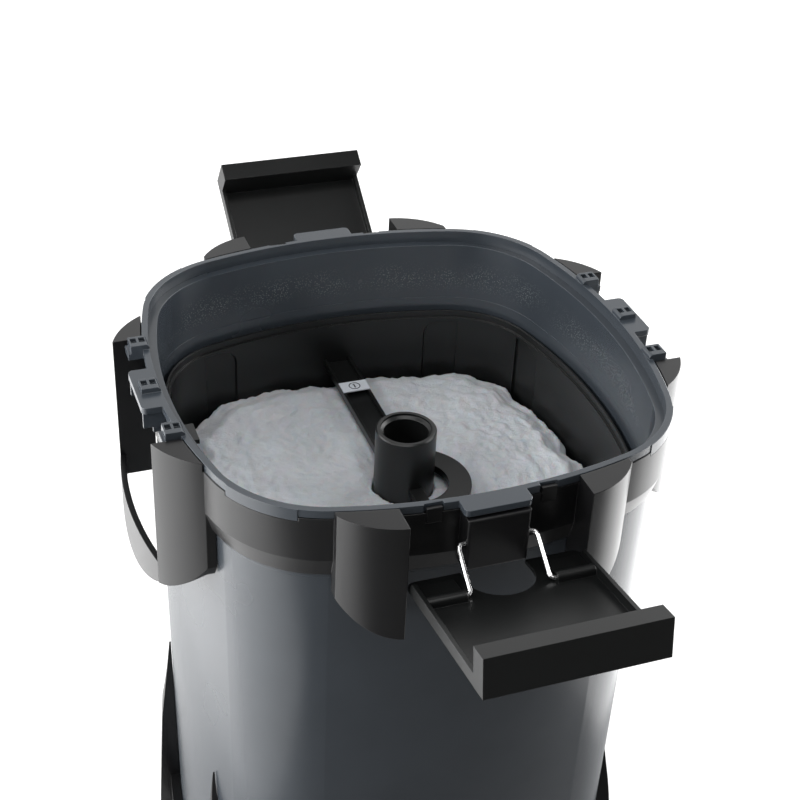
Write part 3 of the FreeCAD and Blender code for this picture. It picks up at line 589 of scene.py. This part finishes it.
def make_mark(material):
    """Circled figure one on the plate, as raised ink."""
    low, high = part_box("number_plate")
    centre = Vector(((low[0] + high[0]) / 2, (low[1] + high[1]) / 2, high[2]))
    points = []
    segments, outer, inner, rise = 40, 3.3 * MM, 2.8 * MM, 0.08 * MM
    for radius, z in ((inner, 0.0), (outer, 0.0), (outer, rise), (inner, rise)):
        for s in range(segments):
            turn = 2 * math.pi * s / segments
            points.append(centre + Vector((radius * math.cos(turn), radius * math.sin(turn), z)))
    faces = torus_faces(4, segments)
    stroke = [(-0.35, -1.8), (0.35, -1.8), (0.35, 1.8), (-0.1, 1.8),
              (-0.95, 1.1), (-0.7, 0.8), (-0.35, 1.05)]
    base = len(points)
    for z in (0.0, rise):
        points += [centre + Vector((x * MM, y * MM, z)) for x, y in stroke]
    n = len(stroke)
    faces.append(tuple(base + n + k for k in range(n)))
    faces.append(tuple(base + k for k in reversed(range(n))))
    for k in range(n):
        j = (k + 1) % n
        faces.append((base + k, base + j, base + n + j, base + n + k))
    mark = mesh_object("plate_figure", points, faces, smooth=False)
    mark.data.materials.append(material)
    return mark


# Stage

def place_camera():
    azimuth, elevation = CAMERA_AZIMUTH, CAMERA_ELEVATION
    back = Vector((math.cos(elevation) * math.sin(azimuth),
                   -math.cos(elevation) * math.cos(azimuth), math.sin(elevation)))
    right = Vector((math.cos(azimuth), math.sin(azimuth), 0))
    up = back.cross(right)
    rolled_right = right * math.cos(CAMERA_ROLL) + up * math.sin(CAMERA_ROLL)
    rolled_up = up * math.cos(CAMERA_ROLL) - right * math.sin(CAMERA_ROLL)
    data = bpy.data.cameras.new("camera")
    data.sensor_width = 36.0
    data.lens = CAMERA_LENS
    data.clip_start = 0.01
    camera = bpy.data.objects.new("camera", data)
    turn = Matrix((rolled_right, rolled_up, back)).transposed().to_4x4()
    camera.matrix_world = Matrix.Translation(CAMERA_TARGET + back * CAMERA_DISTANCE) @ turn
    bpy.context.scene.collection.objects.link(camera)
    bpy.context.scene.camera = camera


def softbox(name, place, size_x, size_y, power, aim=(0.0, 0.0, 0.24)):
    data = bpy.data.lights.new(name, "AREA")
    data.shape = "RECTANGLE"
    data.size = size_x
    data.size_y = size_y
    data.energy = power
    lamp = bpy.data.objects.new(name, data)
    lamp.location = place
    lamp.rotation_euler = (Vector(aim) - Vector(place)).to_track_quat("-Z", "Y").to_euler()
    bpy.context.scene.collection.objects.link(lamp)


def low_panel(name, place, size_x, size_y, power):
    """Light table beside the object, facing up, that the side walls reflect."""
    x, y = place
    softbox(name, (x, y, 0.01), size_x, size_y, power, aim=(x, y, 1.0))
    bpy.data.objects[name].visible_camera = False


def floor_material():
    """White floor with its shadow to the camera; to other rays, dark in front of the object."""
    g = Graph("floor_white")
    g.shader.inputs["Roughness"].default_value = 0.9
    g.shader.inputs["Specular IOR Level"].default_value = 0.0
    g.shader.inputs["Emission Color"].default_value = (1, 1, 1, 1)
    path = g.add("ShaderNodeLightPath")
    seen = g.maths("MAXIMUM", path.outputs["Is Camera Ray"], path.outputs["Is Transmission Ray"])
    split = g.add("ShaderNodeSeparateXYZ")
    g.link(g.coords, split.inputs["Vector"])
    beside = g.maths("MULTIPLY", g.maths("ABSOLUTE", split.outputs["X"], 0.0), 0.6)
    away = g.maths("ADD", split.outputs["Y"], beside)
    reflector = g.mix(g.span(away, 0.0, 1.0, -0.25, 0.35), (0.13, 0.13, 0.13), (0.85, 0.85, 0.85))
    g.link(g.mix(seen, reflector, (0.55, 0.55, 0.55)), g.shader.inputs["Base Color"])
    radius = g.add("ShaderNodeVectorMath", operation="LENGTH")
    g.link(g.coords, radius.inputs[0])
    glow = g.span(radius.outputs["Value"], 0.62, 1.0, 0.4, 1.6)
    g.link(g.maths("MULTIPLY", seen, glow), g.shader.inputs["Emission Strength"])
    return g.material


def ramp(tree, source, low, high, start, end):
    node = tree.nodes.new("ShaderNodeMapRange")
    node.interpolation_type = "SMOOTHSTEP"
    for name, value in (("From Min", low), ("From Max", high), ("To Min", start), ("To Max", end)):
        node.inputs[name].default_value = value
    tree.links.new(source, node.inputs["Value"])
    return node.outputs["Result"]


def combine(tree, operation, first, second):
    node = tree.nodes.new("ShaderNodeMath")
    node.operation = operation
    tree.links.new(first, node.inputs[0])
    tree.links.new(second, node.inputs[1])
    return node.outputs["Value"]


def make_backdrop():
    """White to the camera; for its light, bright low behind the object and dim elsewhere."""
    world = bpy.data.worlds.new("studio")
    bpy.context.scene.world = world
    world.use_nodes = True
    tree = world.node_tree
    ground = tree.nodes["Background"]
    ground.inputs["Color"].default_value = (1, 1, 1, 1)
    heading = tree.nodes.new("ShaderNodeTexCoord")
    split = tree.nodes.new("ShaderNodeSeparateXYZ")
    tree.links.new(heading.outputs["Generated"], split.inputs["Vector"])
    behind = ramp(tree, split.outputs["Y"], -0.3, 0.5, 0.03, 0.95)
    low = ramp(tree, split.outputs["Z"], 0.50, 0.85, 1.0, 0.35)
    path = tree.nodes.new("ShaderNodeLightPath")
    strength = combine(tree, "MAXIMUM", combine(tree, "MULTIPLY", behind, low),
                       path.outputs["Is Camera Ray"])
    tree.links.new(strength, ground.inputs["Strength"])


def make_stage():
    reach = 4.0
    floor = mesh_object("floor", [(-reach, -reach, 0), (reach, -reach, 0), (reach, reach, 0),
                                  (-reach, reach, 0)], [(0, 1, 2, 3)], smooth=False)
    floor.data.materials.append(floor_material())
    softbox("left_softbox", (-1.30, 0.05, 0.60), 1.8, 1.3, 38.0)
    softbox("right_softbox", (1.30, 0.15, 0.60), 1.6, 1.2, 32.0)
    softbox("top_softbox", (-0.20, -0.55, 1.60), 1.2, 1.0, 9.0)
    low_panel("left_low_panel", (-0.56, 0.16), 0.70, 0.95, 1.8)
    low_panel("right_low_panel", (0.53, 0.16), 0.60, 0.80, 2.6)
    make_backdrop()
    bpy.context.scene.view_settings.view_transform = "Standard"


def main():
    place_camera()
    make_stage()
    materials = make_materials()
    dress(materials)

    floss = make_floss(materials["floss_white"])
    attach(floss, "prefilter")
    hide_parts("floss_pad")
    threads = make_fibres(floss, materials["floss_white"])
    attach(threads, "prefilter")

    sponge = make_sponge(materials["sponge_blue"])
    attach(sponge, "prefilter")
    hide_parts("prefilter_sponge")

    for body, seed in (("lower", 11), ("middle", 23)):
        node = body + "_media"
        rings = make_rings(body + "_rings", node, materials["media_ceramic"], seed)
        bed = make_bed(body + "_bed", node, materials["media_ceramic"])
        for piece in (rings, bed):
            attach(piece, body + "_basket")
        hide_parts(node)

    mark = make_mark(materials["plate_ink"])
    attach(mark, "prefilter")


main()
